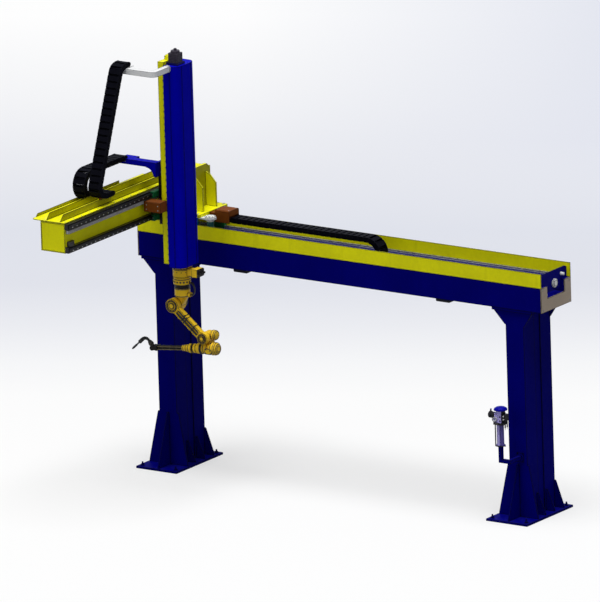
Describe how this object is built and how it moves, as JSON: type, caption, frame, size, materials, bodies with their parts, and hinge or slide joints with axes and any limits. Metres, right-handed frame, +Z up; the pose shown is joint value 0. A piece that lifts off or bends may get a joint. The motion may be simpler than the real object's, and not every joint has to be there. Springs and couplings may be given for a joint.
{
  "type": "gantry robot",
  "caption": "Portal gantry with a cantilever carriage, a vertical ram and an inverted six-axis arc welding arm beside a torch cleaning station.",
  "frame": {"origin": "on the floor, on the left column's axis", "axes": "+X along the cross beam towards the right column, +Y towards the rear, +Z up"},
  "size_m": [6.5, 3.637, 6.073],
  "materials": {
    "blue": "smooth dark blue machine enamel",
    "ram_blue": "smooth blue enamel",
    "yellow": "smooth yellow enamel",
    "robot_yellow": "golden yellow enamel on castings",
    "rail_steel": "ground steel",
    "dark_steel": "dark phosphated steel",
    "white_sheet": "white enamel",
    "brown_sheet": "rust brown enamel",
    "chain_black": "black moulded polyamide",
    "teal": "blue green enamel",
    "bearing_green": "green end caps on steel blocks",
    "motor_grey": "grey cast motor housing",
    "arm_grey": "dark grey enamel",
    "station_lavender": "pale anodised aluminium",
    "torch_black": "black torch body"
  },
  "bodies": {
    "root": {"left_base_plate": "blue", "left_column": "blue", "right_base_plate": "blue", "right_column": "blue", "cross_beam": "blue", "front_guard": "yellow", "rear_guard": "yellow", "beam_end_plates": "blue", "beam_feet": "dark_steel", "x_rails": "rail_steel", "x_rack": "rail_steel", "x_drag_chain": "chain_black", "station_bracket": "blue", "station_cylinders": "station_lavender", "station_head": "dark_steel"},
    "x_carriage": {"carriage_plate": "yellow", "carriage_risers": "teal", "x_drive": "white_sheet", "x_chain_bracket": "brown_sheet", "beam_bracket": "yellow", "y_beam": "yellow", "y_rails": "dark_steel", "y_rack": "rail_steel", "chain_tray": "yellow", "chain_anchors": "brown_sheet", "y_end_stop": "dark_steel"},
    "saddle": {"saddle_plate": "yellow", "y_bearings": "bearing_green", "z_bearings": "bearing_green", "y_chain_bracket": "brown_sheet", "chain_arm": "ram_blue", "y_drag_chain": "chain_black", "z_drag_chain": "chain_black"},
    "ram": {"ram_plate": "yellow", "ram_cover": "ram_blue", "z_rails": "rail_steel", "z_motor": "motor_grey", "ram_chain_arm": "white_sheet", "robot_base": "robot_yellow"},
    "turret": {"robot_turret": "robot_yellow"},
    "upper_arm": {"robot_upper_arm": "robot_yellow"},
    "elbow": {"robot_elbow": "robot_yellow"},
    "forearm": {"robot_forearm": "robot_yellow"},
    "wrist": {"robot_wrist": "arm_grey"},
    "torch": {"welding_torch": "torch_black"}
  },
  "joints": [
    {"name": "x_travel", "type": "slide", "parent": "root", "child": "x_carriage", "axis": [1, 0, 0], "range_m": [0, 4.9]},
    {"name": "y_travel", "type": "slide", "parent": "x_carriage", "child": "saddle", "axis": [0, -1, 0], "range_m": [0, 1.5]},
    {"name": "z_travel", "type": "slide", "parent": "saddle", "child": "ram", "axis": [0, 0, -1], "range_m": [0, 1.3]},
    {"name": "base_turn", "type": "hinge", "parent": "ram", "child": "turret", "pos_m": [0.728, -0.9535, 3], "axis": [0, 0, 1], "range_deg": [-170, 170]},
    {"name": "shoulder", "type": "hinge", "parent": "turret", "child": "upper_arm", "pos_m": [0.618, -0.9535, 2.488], "axis": [0, 1, 0], "range_deg": [-40, 120]},
    {"name": "elbow_bend", "type": "hinge", "parent": "upper_arm", "child": "elbow", "pos_m": [1.09142, -0.9535, 2.09076], "axis": [0, -1, 0], "range_deg": [-30, 130]},
    {"name": "forearm_roll", "type": "hinge", "parent": "elbow", "child": "forearm", "pos_m": [1.10793, -0.9535, 1.93362], "axis": [-0.9945, 0, -0.1045], "range_deg": [-170, 170]},
    {"name": "wrist_bend", "type": "hinge", "parent": "forearm", "child": "wrist", "pos_m": [0.23275, -0.9535, 1.84164], "axis": [0, 1, 0], "range_deg": [-165, 55]},
    {"name": "torch_turn", "type": "hinge", "parent": "wrist", "child": "torch", "pos_m": [0.23275, -0.9535, 1.84164], "axis": [-0.6561, 0, 0.7547], "range_deg": [-200, 200]}
  ]
}
